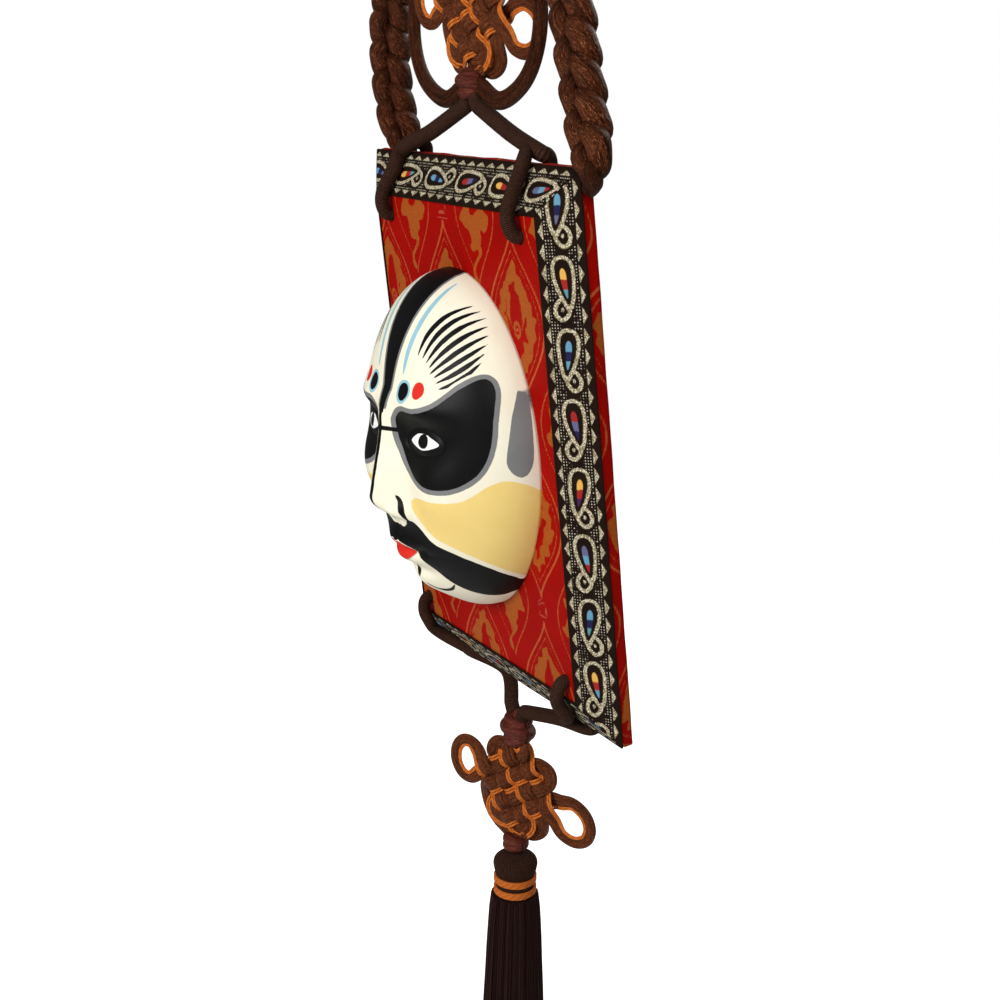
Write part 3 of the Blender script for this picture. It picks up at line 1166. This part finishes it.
for name, turns, radius in (
    ("joining_knot", 5, 0.0038),
    ("crown_collar", 3, 0.0032),
    ("upper_collar", 3, 0.0036),
    ("lower_collar", 3, 0.0045),
    ("tassel_knot", 2, 0.0034),
):
    wear(wound_knot(name, turns, radius), "red_brown_satin", name)


# The hanging loop and the stem: one brown satin cord doubled over the nail, and two thinner ones
# twisted together between the joining knot and the crown collar.
loop_half, loop_length = 0.013, 0.068 - 0.014
right_places = [(loop_half, 0, -0.56 * loop_length), (loop_half * 0.86, 0, -0.19 * loop_length)]
right_places += [(loop_half * 0.45, 0, 0.4 * cord_radius)]
left_places = [(-x, y, z) for x, y, z in right_places[::-1]]
route = [*leave("joining_knot", (0.42, 0, 0.91)), *right_places, (0, 0, cord_radius), *left_places]
route += leave("joining_knot", (-0.42, 0, 0.91))[::-1]
hanging = cords("nail_loop", [smooth_line(route, 12)], cord_radius, satin_cord, sides=20)
wear(hanging, "brown_satin_cord", "hanging_loop")
upper_end, lower_end = leave("joining_knot", (0, 0, -1))[0], leave("crown_collar", (0, 0, 1))[0]
stem_radius, stem_twist = 0.0021, 14
stem_routes = []
share = np.linspace(0, 1, 50)[:, None]
for turn_start in (0.0, math.pi):
    twist = turn_start + share * stem_twist
    curl = np.hstack([np.cos(twist), np.sin(twist), 0 * twist]) * 0.0020
    stem_routes.append(upper_end * (1 - share) + lower_end * share + curl)
stem = cords("middle_stem", stem_routes, stem_radius, satin_cord, sides=14)
wear(stem, "brown_satin_cord", "stem_cord")


# The tassel: a head and neck of dark threads laid over a core, two wound bands of orange thread, and
# a skirt of four rings of 300 threads each, cut level, round a core of its own.
skirt_thread, start, shader = new_material("dark_tassel_thread", 0.10, (1, 0.6, 0.5))
skirt_colour = start.attribute("thread_tone").over((0.008, 0.0028, 0.0024), (0.046, 0.0165, 0.0140))
skirt_colour = (start.noise(260, 2) * 0.5).over(skirt_colour, (0.018, 0.008, 0.007))
finish_with(start, shader, skirt_colour, 0.55, start.noise(2600, 2), 0.00006)

tassel_centre, knot_size = knots["tassel_knot"]
head_radius, head_height, neck_radius, neck_height = 0.0125, 0.015, 0.0112, 0.011
head_top = tassel_centre.z - knot_size[2] - 0.0003
waist = head_top - head_height
neck_foot = waist - neck_height

angles = np.linspace(0.12, math.pi / 2, 9)
shoulder, dome_height = head_radius + 0.0003, 0.0062
head_profile = [(shoulder * math.sin(a), head_top - dome_height * (1 - math.cos(a))) for a in angles]
head_profile += [(shoulder, head_top - 0.0078), (head_radius - 0.0006, waist + 0.0030)]
head_profile += [(neck_radius, waist + 0.0008), (neck_radius, waist - 0.003), (neck_radius, neck_foot)]
head_reach, head_level = smooth_line(head_profile, 2).T
head_routes = []
head_count, head_thread = 100, 0.00046
for k in range(head_count):
    angle = 2 * math.pi * k / head_count + 0.02 * np.sin(head_level * 420 + 2.4 * k)
    reach = np.maximum(head_reach - 0.00045, 0.0003)
    x, y = reach * np.cos(angle), tassel_centre.y + reach * np.sin(angle)
    head_routes.append(np.stack([x, y, head_level], -1))
head_threads = cords("tassel_head_threads", head_routes, head_thread, bound_cord, sides=6)
core = np.array([(0, tassel_centre.y, z) for z in head_level])
with_core(head_threads, core, np.maximum(head_reach - 0.0006, 0.0002), 40)
wear(head_threads, "dark_tassel_thread", "tassel_head")

band_thread, band_height, band_turns = 0.00032, 0.0036, 6
band_reach = neck_radius + 0.0013 - band_thread
steps = np.linspace(0, 1, 30 * band_turns)
angle = 2 * np.pi * band_turns * steps
for name, band_top in (("upper", waist + 0.0009), ("lower", neck_foot + 0.0049)):
    x, y = band_reach * np.cos(angle), tassel_centre.y + band_reach * np.sin(angle)
    route = np.stack([x, y, band_top - band_height * steps], -1)
    band = cords(f"{name}_orange_band", [route], band_thread, orange_cord, sides=8)
    core = np.array([(0, tassel_centre.y, z) for z in (band_top, band_top - band_height)])
    with_core(band, core, [band_reach, band_reach], 40)
    wear(band, "orange_thread", f"tassel_band_{name}")

skirt_tree = bpy.data.node_groups.new("tassel_skirt", "GeometryNodeTree")
skirt_inputs = {"Threads": 300, "Top Radius": 0.0137, "Foot Radius": 0.0186, "Length": 0.104}
skirt_inputs |= {"Thread Radius": 0.00036, "Wander": 0.0011, "Seed": 7}
skirt_tree.interface.new_socket("Start", in_out="INPUT", socket_type="NodeSocketGeometry")
for name, value in skirt_inputs.items():
    kind = "NodeSocketInt" if isinstance(value, int) else "NodeSocketFloat"
    skirt_tree.interface.new_socket(name, in_out="INPUT", socket_type=kind)
skirt_tree.interface.new_socket("Finish", in_out="INPUT", socket_type="NodeSocketMaterial")
skirt_tree.interface.new_socket("Skirt", in_out="OUTPUT", socket_type="NodeSocketGeometry")
given = Value(skirt_tree).node("NodeGroupInput")
seed = given.other("Seed")
roots = given.node("GeometryNodeMeshCircle", {"Vertices": given.other("Threads"), "Radius": 1.0})
roots = roots.keep("thread_tone", given.node("FunctionNodeRandomValue", {"Seed": seed}, 1))
roots = roots.keep("thread_way", given.node("GeometryNodeInputPosition"), "FLOAT_VECTOR")
thread = given.node("GeometryNodeCurvePrimitiveLine", {"Start": (0, 0, 0), "End": (0, 0, -1)})
thread = given.node("GeometryNodeResampleCurve", {"Curve": thread, "Count": 12})
threads = given.node("GeometryNodeInstanceOnPoints", {"Points": roots, "Instance": thread})
threads = given.node("GeometryNodeRealizeInstances", {0: threads})
down_share = given.node("GeometryNodeSplineParameter")
way, tone = given.kept("thread_way", "FLOAT_VECTOR"), given.kept("thread_tone")
bend_place = given.vector(way.part("X") * 9 + tone * 4, way.part("Y") * 9 + seed, down_share * 2.2)
drift = given.node("ShaderNodeTexNoise", {"Vector": bend_place, "Scale": 1.0, "Detail": 1.0}, "Color")
top_radius, foot_radius = given.other("Top Radius"), given.other("Foot Radius")
opened = down_share.maths("POWER", 0.62)
wave = (way.part("X") * 7.0 + way.part("Y") * 5.0).maths("SINE") * 0.0007 * down_share
skirt_radius = top_radius + (foot_radius - top_radius) * opened + wave - tone * 0.0016
stray = given.other("Wander") * down_share
x = way.part("X") * skirt_radius + (drift.part("X") - 0.5) * stray * 2
y = way.part("Y") * skirt_radius + (drift.part("Y") - 0.5) * stray * 2
z = down_share * (given.other("Length") + (tone - 0.5) * 0.0022) * -1
threads = given.node("GeometryNodeSetPosition", {"Geometry": threads, "Position": given.vector(x, y, z)})
threads.sweep(5, given.other("Thread Radius"), given.other("Finish"))

skirt_top = Vector((0, tassel_centre.y, neck_foot - 0.0003))
for ring_number, inset in enumerate((0.0, 0.0006, 0.0014, 0.0024)):
    settings = dict(skirt_inputs, Finish=skirt_thread)
    settings["Seed"] += ring_number
    settings["Top Radius"] -= inset
    settings["Foot Radius"] -= inset * 1.5
    layer = grow(f"skirt_threads_{ring_number}", bpy.data.meshes.new("skirt_start"), skirt_tree, **settings)
    layer.data.transform(Matrix.Translation(skirt_top))
    wear(layer, "dark_tassel_thread", *(["tassel_skirt"] if ring_number == 0 else []))
core_length, core_top_radius, core_widening = 0.102, 0.0122, 0.0036
shares = np.arange(21) / 20
core = np.array([skirt_top + Vector((0, 0, -core_length * share)) for share in shares])
core_widths = core_top_radius + core_widening * shares**0.62
skirt_core = cords("skirt_core", [core], 1.0, skirt_thread, [core_widths], 48)
wear(skirt_core, "dark_tassel_thread")

low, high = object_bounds()
